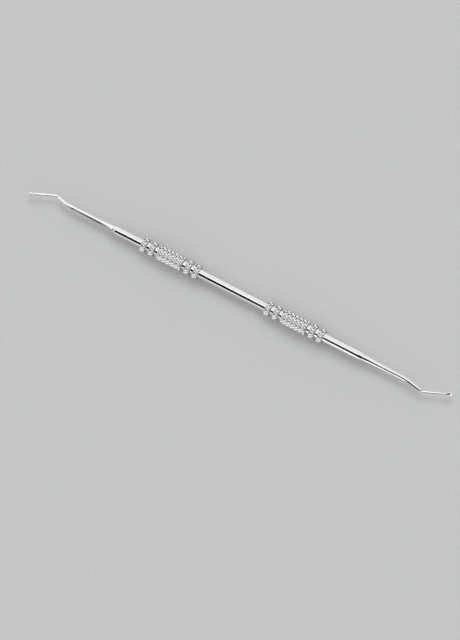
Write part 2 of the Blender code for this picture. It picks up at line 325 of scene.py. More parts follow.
class Board:
    """A node tree that is being wired."""

    def __init__(self, tree: NodeTree) -> None:
        """Take hold of a tree."""
        self.tree = tree

    def feed(self, node: Node, inputs: Inputs) -> None:
        """Feed some of a node's inputs.

        Args:
            node: the node.
            inputs: what each input gets. A socket is linked and a constant is set.
        """
        for name, source in inputs.items():
            if isinstance(source, Socket):
                self.tree.links.new(source, node.inputs[name])
            else:
                node.inputs[name].default_value = source

    def add(self, kind: str, inputs: Inputs | None = None, **settings: object) -> Node:
        """Add a node.

        Args:
            kind: the node's type.
            inputs: a socket or constant for each input that is fed.
            settings: the node's settings, which are made first.

        Returns:
            The node.
        """
        node = self.tree.nodes.new(kind)
        for name, value in settings.items():
            setattr(node, name, value)
        self.feed(node, inputs or {})
        return node

    def math(self, operation: str, *values: object, clamp: bool = False) -> Socket:
        """The result of a Math node with these sockets or numbers for inputs."""
        fed = dict(enumerate(values))
        return self.add("ShaderNodeMath", fed, operation=operation, use_clamp=clamp).outputs[0]

    def vector(self, operation: str, *values: object, output: str = "Vector") -> Socket:
        """The result of a Vector Math node with these sockets or constants for inputs."""
        node = self.add("ShaderNodeVectorMath", dict(enumerate(values)), operation=operation)
        return node.outputs[output]

    def group(self, tree: NodeTree, inputs: Inputs) -> list[Socket]:
        """The outputs of this node group, placed with these inputs."""
        return list(self.add("ShaderNodeGroup", inputs, node_tree=tree).outputs)

    def ramp(self, value: Socket, limits: Range, results: Range = (0.0, 1.0)) -> Socket:
        """Change smoothly between two results while the value goes between two limits.

        Args:
            value: socket of the value.
            limits: values at which the change starts and is complete.
            results: results up to the first limit and from the second one on.

        Returns:
            The result's socket.
        """
        fed = {"Value": value, "From Min": limits[0], "From Max": limits[1],
               "To Min": results[0], "To Max": results[1]}
        return self.add("ShaderNodeMapRange", fed, interpolation_type="SMOOTHSTEP").outputs[0]

    def window(self, value: Socket, limits: Range, edges: Range) -> Socket:
        """1 between two limits and 0 outside them.

        Args:
            value: socket of the value.
            limits: the lower and the upper limit.
            edges: how far either side of each limit its change reaches.

        Returns:
            The result's socket.
        """
        rising, falling = [(limit - edge, limit + edge) for limit, edge in zip(limits, edges)]
        inside = self.ramp(value, rising)
        return self.math("MULTIPLY", inside, self.ramp(value, falling, (1.0, 0.0)))

    def noise(self, place: Socket, scale: float, detail: float, roughness: float = 0.5) -> Socket:
        """Cloudy noise from 0 to 1, with this many finer layers of this strength."""
        fed = {"Vector": place, "Scale": scale, "Detail": detail, "Roughness": roughness}
        return self.add("ShaderNodeTexNoise", fed).outputs["Fac"]

    def mix(self, share: object, first: object, second: object) -> Socket:
        """Mix this share of the second colour into the first one."""
        fed = {0: share, 6: first, 7: second}
        return self.add("ShaderNodeMix", fed, data_type="RGBA", blend_type="MIX").outputs[2]

    def relief(self, height: Socket, depth: float, strength: float) -> Socket:
        """A normal that is tilted by relief of this height, this deep and this strong."""
        fed = {"Strength": strength, "Distance": depth, "Height": height}
        return self.add("ShaderNodeBump", fed).outputs["Normal"]


def new_group(
    name: str, inputs: dict[str, str], outputs: dict[str, str]
) -> tuple[Board, Node, Node]:
    """Start a shader node group.

    Args:
        name: name of the group.
        inputs: kind of socket for each input name.
        outputs: kind of socket for each output name.

    Returns:
        The group's board and its input and output nodes.
    """
    tree = bpy.data.node_groups.new(name, "ShaderNodeTree")
    for direction, sockets in (("INPUT", inputs), ("OUTPUT", outputs)):
        for label, kind in sockets.items():
            tree.interface.new_socket(label, in_out=direction, socket_type="NodeSocket" + kind)
    board = Board(tree)
    return board, board.add("NodeGroupInput"), board.add("NodeGroupOutput")


@dataclass
class Effects:
    """Node groups for the marks that every steel finish has, each built once."""

    line_detail: float = 3.0
    line_roughness: float = 0.65
    broad_line_scale: float = 0.21
    broad_line_detail: float = 2.0
    smudge_scale: float = 420.0
    smudge_detail: float = 4.0
    smudge_roughness: float = 0.6
    smudge_range: Range = (0.45, 0.75)
    scratch_scales: tuple[Scale, Scale] = ((300.0, 5200.0, 2600.0), (900.0, 3600.0, 5600.0))
    scratch_width: float = 0.006
    scratch_patch_scale: float = 900.0
    scratch_patch_range: Range = (0.55, 0.62)

    def __post_init__(self) -> None:
        """Build the groups."""
        self.grain = self._grain()
        self.handling = self._handling()
        self.crests = self._crests()

    def _grain(self) -> NodeTree:
        """Fine lines left by grinding and buffing: long one way and very narrow the other.

        Returns:
            The group.
        """
        board, given, out = new_group(
            "grinding_grain",
            {"Place": "Vector", "Line scale": "Vector"},
            {"Lines": "Float", "Broad lines": "Float"},
        )
        place = board.vector("MULTIPLY", *given.outputs[:2])
        lines = board.noise(place, 1.0, self.line_detail, self.line_roughness)
        broad = board.noise(place, self.broad_line_scale, self.broad_line_detail)
        board.feed(out, {"Lines": lines, "Broad lines": broad})
        return board.tree

    def _handling(self) -> NodeTree:
        """Faint smudges from fingers, and a few hair scratches.

        Returns:
            The group.
        """
        board, given, out = new_group(
            "handling_marks", {"Place": "Vector"}, {"Smudge": "Float", "Scratch": "Float"}
        )
        place = given.outputs["Place"]
        clouds = board.noise(place, self.smudge_scale, self.smudge_detail, self.smudge_roughness)
        strokes = []
        for scale in self.scratch_scales:
            threads = board.noise(board.vector("MULTIPLY", place, scale), 1.0, 1.0)
            thread = board.math("ABSOLUTE", board.math("SUBTRACT", threads, 0.5))
            strokes.append(board.ramp(thread, (0.0, self.scratch_width), (1.0, 0.0)))
        patches = board.noise(place, self.scratch_patch_scale, 1.0)
        sparse = board.ramp(patches, self.scratch_patch_range)
        either = board.math("MAXIMUM", *strokes)
        board.feed(out, {
            "Smudge": board.ramp(clouds, self.smudge_range),
            "Scratch": board.math("MULTIPLY", either, sparse, clamp=True),
        })
        return board.tree

    @staticmethod
    def _crests() -> NodeTree:
        """How near a point of a knurl is to its crests, by its distance from the tool's axis.

        Returns:
            The group.
        """
        board, given, out = new_group(
            "knurl_crests",
            {"Place": "Vector", "Root radius": "Float", "Crest radius": "Float"},
            {"Height": "Float"},
        )
        place, root, crest = given.outputs[:3]
        offset = board.vector("SUBTRACT", place, ROD_MIDDLE)
        across = board.vector("MULTIPLY", offset, (0.0, 1.0, 1.0))
        radius = board.vector("LENGTH", across, output="Value")
        fed = {"Value": radius, "From Min": root, "From Max": crest}
        board.feed(out, {"Height": board.add("ShaderNodeMapRange", fed).outputs[0]})
        return board.tree


def new_material(name: str) -> tuple[Material, Board, Node]:
    """Start a node material.

    Args:
        name: name of the material.

    Returns:
        The material, its board and its Principled shader.
    """
    material = bpy.data.materials.new(name)
    material.use_nodes = True
    board = Board(material.node_tree)
    return material, board, material.node_tree.nodes["Principled BSDF"]


@dataclass(frozen=True)
class PolishedSteel:
    """Buffed stainless steel with fine lines, faint smudges and hair scratches."""

    name: str
    line_scale: Scale
    unbent: bool = False
    colour: Colour = (0.87, 0.87, 0.86, 1.0)
    dull_colour: Colour = (0.77, 0.77, 0.765, 1.0)
    line_range: Range = (0.35, 0.75)
    line_dulling: Range = (0.0, 0.45)
    smudge_dulling: float = 0.3
    scratch_dulling: float = 0.4
    broad_line_range: Range = (0.3, 0.7)
    roughness: Range = (0.02, 0.06)
    smudge_roughness: float = 0.04
    scratch_roughness: float = 0.14
    scratch_relief: float = -0.8
    line_depth: float = 0.0000004
    line_strength: float = 0.35
    # Painted shade: the inside of the cup's hollow gets this dark colour.
    painted_hollow_shade: Colour = (0.34, 0.34, 0.337, 1.0)
    hollow_roughness: float = 0.22

    def material(self, effects: Effects) -> Material:
        """Build the material.

        Args:
            effects: the shared node groups.

        Returns:
            The material.
        """
        material, board, shader = new_material(self.name)
        if self.unbent:
            place = board.add("ShaderNodeAttribute", attribute_name=UNBENT).outputs["Vector"]
        else:
            place = board.add("ShaderNodeTexCoord").outputs["Object"]
        lines, broad = board.group(effects.grain, {"Place": place, "Line scale": self.line_scale})
        smudge, scratch = board.group(effects.handling, {"Place": place})

        dull = board.ramp(lines, self.line_range, self.line_dulling)
        dull = board.math("ADD", dull, board.math("MULTIPLY", smudge, self.smudge_dulling))
        scratched = board.math("MULTIPLY", scratch, self.scratch_dulling)
        dull = board.math("ADD", dull, scratched, clamp=True)
        colour = board.mix(dull, self.colour, self.dull_colour)

        rough = board.ramp(broad, self.broad_line_range, self.roughness)
        if self.unbent:
            # Painted shade inside the cup's hollow: there the colour falls to the dark hollow
            # colour.
            hollow = board.add("ShaderNodeAttribute", attribute_name=HOLLOW).outputs["Fac"]
            colour = board.mix(hollow, colour, self.painted_hollow_shade)
            rough = board.math("MULTIPLY_ADD", hollow, self.hollow_roughness, rough)
        rough = board.math("MULTIPLY_ADD", smudge, self.smudge_roughness, rough)
        rough = board.math("MULTIPLY_ADD", scratch, self.scratch_roughness, rough)

        height = board.math("ADD", lines, broad)
        height = board.math("MULTIPLY_ADD", scratch, self.scratch_relief, height)
        normal = board.relief(height, self.line_depth, self.line_strength)
        board.feed(shader, {
            "Base Color": colour, "Metallic": 1.0, "Roughness": rough, "Normal": normal,
        })
        return material


@dataclass(frozen=True)
class KnurledSteel:
    """Stainless steel with a diamond knurl: bright crests, roots darkened by painted shade and
    faint tool marks.
    """

    name: str = "knurled_stainless_steel"
    crest_colour: Colour = (0.96, 0.96, 0.95, 1.0)
    flank_colour: Colour = (0.94, 0.94, 0.935, 1.0)
    # Painted shade: the knurl's roots get this dark colour to stand for the shade in the grooves.
    painted_root_shade: Colour = (0.45, 0.45, 0.448, 1.0)
    raggedness: float = 0.35
    flank_range: Range = (0.0, 0.45)
    crest_range: Range = (0.8, 0.98)
    roughness_range: Range = (0.0, 0.9)
    roughness: Range = (0.14, 0.04)
    smudge_roughness: float = 0.08
    mark_scale: Scale = (22000.0, 9000.0, 9000.0)
    mark_depth: float = 0.000002
    mark_strength: float = 0.3

    def material(self, effects: Effects) -> Material:
        """Build the material.

        Args:
            effects: the shared node groups.

        Returns:
            The material.
        """
        material, board, shader = new_material(self.name)
        place = board.add("ShaderNodeTexCoord").outputs["Object"]
        radii = {"Root radius": ROOT_RADIUS, "Crest radius": CREST_RADIUS}
        (height,) = board.group(effects.crests, {"Place": place, **radii})
        lines, _ = board.group(effects.grain, {"Place": place, "Line scale": self.mark_scale})
        smudge, _ = board.group(effects.handling, {"Place": place})

        offset = board.math("SUBTRACT", lines, 0.5)
        ragged = board.math("MULTIPLY_ADD", offset, self.raggedness, height)
        # Painted shade: towards the roots the colour falls from the flank colour to the dark root
        # colour.
        flank_share = board.ramp(ragged, self.flank_range)
        flank = board.mix(flank_share, self.painted_root_shade, self.flank_colour)
        rough = board.ramp(ragged, self.roughness_range, self.roughness)
        board.feed(shader, {
            "Base Color": board.mix(board.ramp(ragged, self.crest_range), flank, self.crest_colour),
            "Metallic": 1.0,
            "Roughness": board.math("MULTIPLY_ADD", smudge, self.smudge_roughness, rough),
            "Normal": board.relief(lines, self.mark_depth, self.mark_strength),
        })
        return material


@dataclass(frozen=True)
class StudioPaper:
    """Pale matt paper for the floor."""

    name: str = "pale_studio_paper"
    colour: Colour = (0.63, 0.635, 0.64, 1.0)
    fleck_colour: Colour = (0.61, 0.615, 0.62, 1.0)
    fleck_scale: float = 900.0
    fleck_detail: float = 4.0
    fleck_roughness: float = 0.6
    fleck_range: Range = (0.4, 0.65)
    roughness: float = 0.9
    specular: float = 0.2

    def material(self) -> Material:
        """Build the material.

        Returns:
            The material.
        """
        material, board, shader = new_material(self.name)
        place = board.add("ShaderNodeTexCoord").outputs["Object"]
        clouds = board.noise(place, self.fleck_scale, self.fleck_detail, self.fleck_roughness)
        flecks = board.ramp(clouds, self.fleck_range)
        board.feed(shader, {
            "Base Color": board.mix(flecks, self.colour, self.fleck_colour),
            "Roughness": self.roughness,
            "Specular IOR Level": self.specular,
        })
        return material


def dress(piece: Object, material: Material, node: str) -> None:
    """Give a finished piece its finish, its body and the solid that it stands for.

    Args:
        piece: the finished object.
        material: its material.
        node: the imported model's node that it replaces.
    """
    piece.data.materials.clear()
    piece.data.materials.append(material)
    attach(piece, BODY)
    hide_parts(node)
    log.info("%s stands for %s, with %d faces", piece.name, node, len(piece.data.polygons))


# Sub-assemblies


@dataclass
class HandleRod:
    """The plain turned bar, with a chamfered mouth and a blind socket in each end."""

    material: Material
    radius: float = ROD_RADIUS
    length: float = ROD_LENGTH
    left_chamfer_length: float = 0.0007
    right_chamfer_length: float = 0.0020
    chamfer_blend: float = 0.00022
    mouth_blend: float = 0.00012
    mouth_radius: float = 0.00161
    socket_radius: float = 0.00109
    socket_depth: float = 0.0090
    edge_round: float = 0.00004
    edge_steps: int = 3
    sides: int = 128
    smooth_angle: float = math.radians(30.0)

    def build(self) -> None:
        """Turn the bar, drill its sockets, round its mouths and dress it."""
        half = self.length / 2.0
        bar = Workpiece.round_bar("turned_handle_rod", self.radius, self.length, self.sides)
        with bar.editing():
            for side, chamfer in (
                (-1.0, self.left_chamfer_length), (1.0, self.right_chamfer_length)
            ):
                end = side * half
                shoulder = side * (half - chamfer)
                bar.cut_ring(shoulder - side * self.chamfer_blend)
                bar.cut_ring(shoulder)
                bar.narrow_end(end, self.mouth_radius / self.radius)
                bar.cut_ring(shoulder + side * self.chamfer_blend)
                bar.cut_ring(end - side * self.mouth_blend)
                bar.pick(
                    Pick.FACES,
                    lambda face: is_end(face)
                    and abs(face.calc_center_median().x - end) < PLACE_TOLERANCE,
                )
                bpy.ops.mesh.inset(thickness=self.mouth_radius - self.socket_radius)
                bpy.ops.mesh.extrude_region_move(
                    TRANSFORM_OT_translate={"value": (-side * self.socket_depth, 0.0, 0.0)}
                )
                rims = [(end, self.mouth_radius), (end, self.socket_radius)]
                bar.ease_rims(rims, self.edge_round, self.edge_steps)
        bar.close_up(self.smooth_angle)
        dress(bar.settle(0.0), self.material, "handle_rod")


@dataclass
class KnurledStock:
    """Short sleeves with a diamond knurl, from which the rings and grips are taken."""

    crest_radius: float = CREST_RADIUS
    root_radius: float = ROOT_RADIUS
    starts: int = KNURL_STARTS
    helix_angle: float = math.radians(35.0)
    crest_excess: float = 0.00006
    spare_pitches: float = 0.25
    bore_radius: float = ROD_RADIUS + 0.000012
    face_chamfer: float = 0.00018
    bore_round: float = 0.00006
    bore_steps: int = 2
    blank_sides: int = 120
    smooth_angle: float = math.radians(24.0)

    @property
    def pitch(self) -> float:
        """Distance along the bar from one crest to the next in the same column."""
        return 2.0 * math.pi * self.crest_radius / self.starts / math.tan(self.helix_angle)

    def knurled_bar(self, half_width: float) -> Workpiece:
        """A solid bar with pointed diamonds all over, a little longer than needed.

        Args:
            half_width: half the width of the sleeve that is cut from it.

        Returns:
            The bar, centred on a row of crests.
        """
        pitch = self.pitch
        rows = 2 * math.ceil(half_width / pitch + self.spare_pitches)
        bar = Workpiece.round_bar(
            "knurled_bar", self.root_radius, rows * pitch, self.starts, -CREST_STEP / 2.0
        )
        corner_radius = self.root_radius * math.cos(CREST_STEP / 2.0)

        def is_corner(vert: BMVert) -> bool:
            """Whether a vertex belongs to the grid that the bar had before it was poked."""
            return math.hypot(vert.co.y, vert.co.z) > corner_radius

        def ends(edge: BMEdge) -> frozenset[int]:
            """The numbers of an edge's two vertices."""
            return frozenset(vert.index for vert in edge.verts)

        with bar.editing():
            bar.pick(Pick.EDGES, lambda edge: abs(edge.verts[0].co.x - edge.verts[1].co.x) > pitch)
            bpy.ops.mesh.subdivide(number_cuts=rows - 1)
            bar.pick(Pick.FACES, lambda face: not is_end(face))
            bpy.ops.mesh.poke()

            bar.pick(Pick.VERTS, lambda vert: not is_corner(vert))
            edges = bmesh.from_edit_mesh(bar.shape.data).edges
            grid = {ends(edge) for edge in edges if all(is_corner(vert) for vert in edge.verts)}
            spread = 1.0 / math.cos(CREST_STEP)
            bpy.ops.transform.resize(value=(1.0, spread, spread), center_override=(0.0, 0.0, 0.0))
            bar.pick(
                Pick.EDGES,
                lambda edge: ends(edge) in grid and not any(map(is_end, edge.link_faces)),
            )
            bpy.ops.mesh.dissolve_edges(use_verts=False)

            bar.pick(Pick.FACES, lambda face: len(face.verts) == 4)
            middle_radius = self.root_radius * (1.0 + math.cos(CREST_STEP)) / 2.0
            bpy.ops.mesh.poke(offset=self.crest_radius + self.crest_excess - middle_radius)
        return bar

    def blank(self, half_width: float) -> Workpiece:
        """A plain turned sleeve with chamfered faces and a bore.

        Args:
            half_width: half the width of the sleeve.

        Returns:
            The sleeve, centred on the origin.
        """
        sleeve = Workpiece.round_bar("blank", self.crest_radius, 2.0 * half_width, self.blank_sides)
        with sleeve.editing():
            for side in (-1.0, 1.0):
                sleeve.cut_ring(side * (half_width - self.face_chamfer))
                sleeve.narrow_end(side * half_width, self.root_radius / self.crest_radius)
            sleeve.pick(Pick.FACES, is_end)
            bpy.ops.mesh.inset(thickness=self.root_radius - self.bore_radius, use_individual=True)
            bpy.ops.mesh.bridge_edge_loops()
            rims = [(-half_width, self.bore_radius), (half_width, self.bore_radius)]
            sleeve.ease_rims(rims, self.bore_round, self.bore_steps)
        return sleeve

    def sleeve(self, name: str, width: float) -> Workpiece:
        """A knurled sleeve: the knurled bar, faced, chamfered and bored like the blank.

        Args:
            name: name of the sleeve.
            width: its width.

        Returns:
            The sleeve, centred on the origin.
        """
        bar = self.knurled_bar(width / 2.0)
        bar.combine("INTERSECT", self.blank(width / 2.0))
        bar.close_up(self.smooth_angle)
        bar.shape.name = bar.shape.data.name = name
        return bar


@dataclass
class KnurledZone:
    """One gripping zone: a long grip between two pairs of narrow rings."""

    side: Side
    start: float
    names: tuple[str, str]
    ring: Workpiece
    grip: Workpiece
    material: Material
    ring_width: float = RING_WIDTH
    ring_pitch: float = RING_PITCH
    grip_length: float = GRIP_LENGTH
    rings_each: int = RINGS_EACH_SIDE

    def build(self) -> None:
        """Copy the stock rings and grip to their places and dress them."""
        side = self.side.value
        grip_start = self.start + self.rings_each * self.ring_pitch
        grip_middle = grip_start + self.grip_length / 2.0
        self._place(self.grip, f"{side}_knurled_grip", grip_middle, f"{side}_grip_sleeve")
        after_grip = grip_start + self.grip_length + self.ring_pitch - self.ring_width
        for name, start in zip(self.names, (self.start, after_grip)):
            for number in range(self.rings_each):
                along = start + number * self.ring_pitch + self.ring_width / 2.0
                label, count = f"{side}_{name}", number + 1
                self._place(
                    self.ring, f"{label}_knurled_ring_{count}", along, f"{label}_ring_{count}"
                )

    def _place(self, stock: Workpiece, name: str, along: float, node: str) -> None:
        """Put a copy of a stock piece this far along the rod and dress it for its node."""
        dress(stock.copied(name).settle(along), self.material, node)


@dataclass(frozen=True)
class Station:
    """One cross-section of a stem."""

    centre: Vector
    heading: float
    half_width: float
    half_height: float
    crown_share: float = 1.0


@dataclass(frozen=True)
class Leg:
    """A stretch of a stem's path that runs straight or turns evenly.

    Its stations lie at these shares of its length. The section makes one of them from its
    place, its heading and how far it lies past the point that its distances count from.
    """

    length: float
    turn: float
    before: float
    shares: tuple[float, ...]
    section: Callable[[Vector, float, float], Station]

    def walk(self, start: Vector, heading: float, share: float = 1.0) -> tuple[Vector, float]:
        """Go along the leg.

        Args:
            start: where the leg starts.
            heading: its heading there.
            share: how much of it is walked.

        Returns:
            The place that is reached and the heading there.
        """
        length, turn = self.length * share, self.turn * share
        chord = length * math.sin(turn / 2.0) / (turn / 2.0) if turn else length
        return start + towards(heading + turn / 2.0) * chord, heading + turn


@dataclass
class CuretteStem:
    """Tang, tapered stem, bent neck, wire and cup, forged in one piece."""

    side: Side
    material: Material
    straight_length: float
    neck_length: float
    neck_angle: float
    tang_radius: float = 0.00099
    tang_length: float = 0.0087
    root_radius: float = 0.00154
    root_round: float = 0.00005
    root_ease: float = 0.3
    shoulder_gap: float = 0.000012
    taper_steps: int = 28
    taper_lead: float = 0.1
    neck_radius: float = 0.0010
    neck_end_radius: float = 0.0007
    neck_bend_radius: float = 0.0200
    neck_bend_steps: int = 12
    neck_shares: tuple[float, ...] = (0.25, 0.5, 0.75)
    elbow_bend_radius: float = 0.0016
    elbow_taper_length: float = 0.0008
    elbow_steps: int = 14
    wire_root_radius: float = 0.00039
    wire_radius: float = 0.00035
    wire_length: float = 0.0094
    wire_angle: float = math.radians(WIRE_DEGREES)
    wire_shares: tuple[float, ...] = (
        0.01, 0.02, 0.03, 0.045, 0.06, 0.075, 0.09, 0.105, 0.2, 0.4, 0.6, 0.8,
    )
    cup_length: float = 0.0021
    cup_half_width: float = 0.00065
    cup_belly_depth: float = 0.00040
    cup_rim_height: float = 0.00026
    cup_flare: float = 0.34
    cup_nose: float = 0.46
    cup_shares: tuple[float, ...] = (
        0.0, 0.04, 0.08, 0.12, 0.16, 0.2, 0.24, 0.28, 0.32, 0.36, 0.41, 0.46, 0.52,
        0.58, 0.64, 0.7, 0.76, 0.81, 0.86, 0.9, 0.93, 0.955, 0.975, 0.988, 0.996, 0.9995,
    )
    outline_power: float = 2.6
    belly_power: float = 2.2
    dish_middle: float = 0.54
    dish_half_length: float = 0.00080
    dish_half_width: float = 0.00054
    dish_depth: float = 0.00042
    dish_segments: int = 48
    dish_rings: int = 24
    dish_margin: float = 1.01
    sides: int = 40
    smooth_angle: float = math.radians(35.0)
    taper: tuple[tuple[float, float], ...] = (
        (0.0, 1.0), (0.04, 0.82), (0.09, 0.66), (0.16, 0.51), (0.24, 0.37),
        (0.33, 0.26), (0.45, 0.17), (0.60, 0.10), (0.78, 0.04), (1.0, 0.0),
    )

    @property
    def cup_side(self) -> float:
        """Which way the cup opens: 1 is up and -1 is down."""
        return 1.0 if self.side is Side.RIGHT else -1.0

    def build(self) -> None:
        """Extrude the stem, hollow its cup, note its unbent places and dress it."""
        stations = self.stations()
        dish = self._dish_centre(stations)
        stem = self._extrude(stations)
        self._shape_cup(stem, stations)
        stem.combine("DIFFERENCE", self._scoop(dish))
        stem.close_up(self.smooth_angle)
        self._note_unbent_places(stem, stations)
        self._note_hollow(stem, dish)
        half = ROD_LENGTH / 2.0
        if self.side is Side.RIGHT:
            piece = stem.settle(half)
        else:
            piece = stem.settle(-half, math.pi)
        dress(piece, self.material, f"{self.side.value}_curette_stem")

    def _taper_at(self, share: float) -> float:
        """The share of the stem's thinning still to come, on a smooth curve through the taper.

        Args:
            share: share of the straight length.

        Returns:
            The share of the thinning.
        """
        knots = self.taper
        slopes = [
            (after[1] - before[1]) / (after[0] - before[0])
            for before, after in zip((knots[0], *knots), (*knots[1:], knots[-1]))
        ]
        number = sum(share > passed for passed, _ in knots[1:-1])
        (start, low), (end, high) = knots[number : number + 2]
        width = end - start
        part = (share - start) / width
        lead = part * (1.0 - part) * (1.0 - part) * width * slopes[number]
        tail = part * part * (part - 1.0) * width * slopes[number + 1]
        return blend(low, high, smoothstep(part)) + lead + tail

    def _flush(self, point: Vector, heading: float, radius: float) -> Vector:
        """The centre of a thinner bar whose outer side stays in line with the neck's."""
        return point + towards(heading - math.pi / 2.0) * (self.neck_end_radius - radius)

    def stations(self) -> list[Station]:
        """Every cross-section from the tang's end to the cup's tip.

        Returns:
            The stations in order.
        """
        turn = self.neck_angle + self.wire_angle
        neck_tangent = self.neck_bend_radius * math.tan(self.neck_angle / 2.0)
        elbow_tangent = self.elbow_bend_radius * math.tan(turn / 2.0)
        straight = self.straight_length - self.shoulder_gap - neck_tangent
        bend = self.neck_bend_radius * self.neck_angle
        neck = self.neck_length - neck_tangent - elbow_tangent
        elbow = self.elbow_bend_radius * turn
        wire = self.wire_length - elbow_tangent

        def bar(centre: Vector, heading: float, radius: float) -> Station:
            """A round station."""
            return Station(centre, heading, radius, radius)

        def of_shank(point: Vector, heading: float, distance: float) -> Station:
            """A station this far along the tapered shank."""
            share = self._taper_at(distance / straight)
            return bar(point, heading, blend(self.neck_radius, self.root_radius, share))

        def of_neck(point: Vector, heading: float, distance: float) -> Station:
            """A station this far along the neck."""
            share = distance / (bend + neck)
            return bar(point, heading, blend(self.neck_radius, self.neck_end_radius, share))

        def of_wire(point: Vector, heading: float, distance: float) -> Station:
            """A station of the elbow or wire.

            Args:
                point: the path's point.
                heading: the path's heading there.
                distance: how far it lies past the start of the elbow.

            Returns:
                The station, flush with the neck's outer side.
            """
            shoulder = smoothstep(distance / self.elbow_taper_length)
            thinned = (self.wire_root_radius - self.wire_radius) * distance / (elbow + wire)
            radius = blend(self.neck_end_radius, self.wire_root_radius, shoulder) - thinned
            return bar(self._flush(point, heading, radius), heading, radius)

        def of_cup(point: Vector, heading: float, distance: float) -> Station:
            """A station this far along the cup."""
            centre = self._flush(point, heading, self.wire_radius)
            return self._cup_station(centre, heading, distance / self.cup_length)

        legs = (
            Leg(straight, 0.0, 0.0, even_shares(self.taper_steps, self.taper_lead), of_shank),
            Leg(bend, -self.neck_angle, 0.0, even_shares(self.neck_bend_steps)[1:], of_neck),
            Leg(neck, 0.0, bend, self.neck_shares, of_neck),
            Leg(elbow, turn, 0.0, even_shares(self.elbow_steps), of_wire),
            Leg(wire, 0.0, elbow, self.wire_shares, of_wire),
            Leg(self.cup_length, 0.0, 0.0, self.cup_shares, of_cup),
        )
        point, heading = Vector((self.shoulder_gap, 0.0, 0.0)), 0.0
        eased = self.root_round * self.root_ease
        found = [
            bar(Vector((-self.tang_length, 0.0, 0.0)), heading, self.tang_radius),
            bar(point, heading, self.tang_radius),
            bar(point, heading, self.root_radius - self.root_round),
            bar(point + Vector((eased, 0.0, 0.0)), heading, self.root_radius - eased),
        ]
        for leg in legs:
            for share in leg.shares:
                reached = leg.walk(point, heading, share)
                found.append(leg.section(*reached, leg.before + leg.length * share))
            point, heading = leg.walk(point, heading)
        return found

    def _cup_station(self, centre: Vector, heading: float, share: float) -> Station:
        """One station of the cup.

        Args:
            centre: the path's point.
            heading: the path's heading.
            share: share of the cup's length.

        Returns:
            The station, with its centre at the height of the rim as the wire becomes the cup.
        """
        flare = smoothstep(share / self.cup_flare)
        beyond = max(0.0, (share - self.cup_nose) / (1.0 - self.cup_nose))
        outline = (1.0 - beyond**self.outline_power) ** (1.0 / self.outline_power)
        keel = (1.0 - beyond**self.belly_power) ** (1.0 / self.belly_power)
        half_width = blend(self.wire_radius, self.cup_half_width, flare) * outline
        lift = self.cup_rim_height * flare
        depth = blend(self.wire_radius, self.cup_belly_depth, flare) * keel + lift
        crown = blend(self.wire_radius, 0.0, flare)
        raised = centre + Vector((0.0, 0.0, lift * self.cup_side))
        return Station(raised, heading, half_width, depth, max(crown / depth, 0.0))

    def _extrude(self, stations: list[Station]) -> Workpiece:
        """Extrude a disc from station to station, turning and scaling it on the way.

        Args:
            stations: the stations in order.

        Returns:
            The closed stem.
        """
        first = stations[0]
        name = f"{self.side.value}_forged_stem"
        clear_selection()
        bpy.ops.mesh.primitive_circle_add(
            vertices=self.sides, radius=first.half_width, fill_type="NGON", location=first.centre
        )
        stem = Workpiece.laid_along_x(name)
        with stem.editing():
            bpy.ops.mesh.select_mode(type="FACE")
            bpy.ops.mesh.select_all(action="SELECT")
            for before, after in zip(stations, stations[1:]):
                step = after.centre - before.centre
                bpy.ops.mesh.extrude_region_move(TRANSFORM_OT_translate={"value": step})
                kept = {"orient_type": "GLOBAL", "center_override": after.centre}
                turn = after.heading - before.heading
                if turn:
                    bpy.ops.transform.rotate(value=-turn, orient_axis="Z", **kept)
                wider = after.half_width / before.half_width
                taller = after.half_height / before.half_height
                if abs(wider - 1.0) + abs(taller - 1.0) > SAME_SIZE:
                    bpy.ops.transform.resize(value=(wider, wider, taller), **kept)
        return stem

    def _shape_cup(self, stem: Workpiece, stations: list[Station]) -> None:
        """Flatten the open side of the cup's sections.

        Args:
            stem: the extruded stem.
            stations: the stations in order.
        """
        ahead = towards(self.wire_angle)
        with stem.editing():
            for station in stations:
                if station.crown_share == 1.0:
                    continue
                centre = station.centre
                stem.pick(
                    Pick.VERTS,
                    lambda vert: abs((vert.co - centre).dot(ahead)) < SECTION_TOLERANCE
                    and (vert.co.z - centre.z) * self.cup_side > SECTION_TOLERANCE,
                )
                flattened = (1.0, 1.0, station.crown_share)
                bpy.ops.transform.resize(
                    value=flattened, orient_type="GLOBAL", center_override=centre
                )

    def _dish_centre(self, stations: list[Station]) -> Vector:
        """The middle of the cup's hollow.

        Args:
            stations: the stations in order.

        Returns:
            The middle, at the height of the cup's rim.
        """
        cup_start = stations[-len(self.cup_shares)].centre
        middle = cup_start + towards(self.wire_angle) * self.cup_length * self.dish_middle
        return middle + Vector((0.0, 0.0, self.cup_rim_height * self.cup_side))

    def _scoop(self, dish: Vector) -> Workpiece:
        """The rounded tool that hollows the cup, half of it above the rim.

        Args:
            dish: the middle of the hollow.

        Returns:
            The tool, at its place in the cup.
        """
        clear_selection()
        bpy.ops.mesh.primitive_uv_sphere_add(
            segments=self.dish_segments, ring_count=self.dish_rings, radius=1.0
        )
        scoop = bpy.context.object
        scoop.location = dish
        scoop.rotation_euler = (0.0, 0.0, self.wire_angle)
        scoop.scale = (self.dish_half_length, self.dish_half_width, self.dish_depth)
        bpy.ops.object.transform_apply(location=True, rotation=True, scale=True)
        return Workpiece(scoop)

    def _note_hollow(self, stem: Workpiece, dish: Vector) -> None:
        """Store which vertices are inside the cup's hollow, which the finish darkens with painted
        shade and makes rougher.

        Args:
            stem: the finished stem, before it is moved to its place.
            dish: the middle of the hollow.
        """
        unturned = Matrix.Rotation(-self.wire_angle, 3, "Z")
        half_sizes = (self.dish_half_length, self.dish_half_width, self.dish_depth)
        hollow = stem.shape.data.attributes.new(HOLLOW, "FLOAT", "POINT")
        for vert in stem.shape.data.vertices:
            offset = unturned @ (vert.co - dish)
            reach = Vector([part / size for part, size in zip(offset, half_sizes)]).length
            below = offset.z * self.cup_side < -PLACE_TOLERANCE
            hollow.data[vert.index].value = float(reach < self.dish_margin and below)

